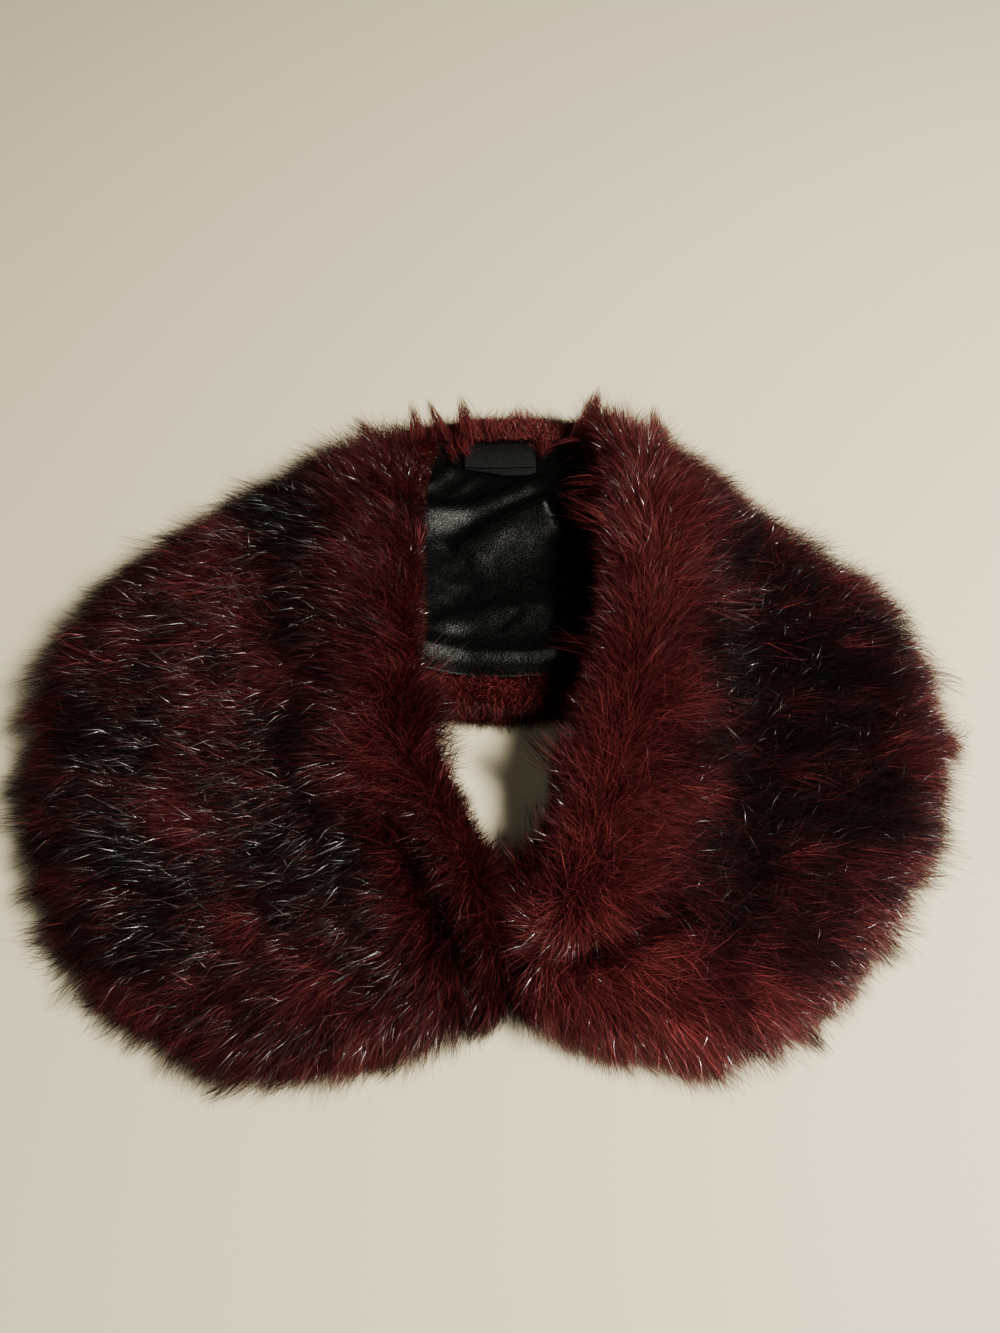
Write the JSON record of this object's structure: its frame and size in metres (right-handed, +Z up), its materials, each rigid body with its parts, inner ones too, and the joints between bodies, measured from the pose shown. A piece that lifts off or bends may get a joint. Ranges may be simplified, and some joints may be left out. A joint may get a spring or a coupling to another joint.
{
  "type": "fur collar wrap",
  "caption": "Wide faux-fur neck wrap with a satin lining, laid on its back with the fronts folded over and an open neck hole.",
  "frame": {"origin": "middle of the collar's box, on the surface that it lies on", "axes": "+X across the collar towards the right front as seen, +Y from the front hem to the back neck edge, +Z up"},
  "size_m": [0.4337, 0.3402, 0.0552],
  "materials": {
    "fur": "long-pile faux fur, rust-red at the roots and burgundy-black at the tips, with a soft sheen",
    "satin": "black satin with a broad silky sheen",
    "label": "matte black woven tape"
  },
  "bodies": {
    "root": {"fur_back": "fur", "fur_front_left": "fur", "fur_front_right": "fur", "lining_back": "satin", "lining_left": "satin", "lining_right": "satin", "neck_label": "label"}
  },
  "joints": []
}
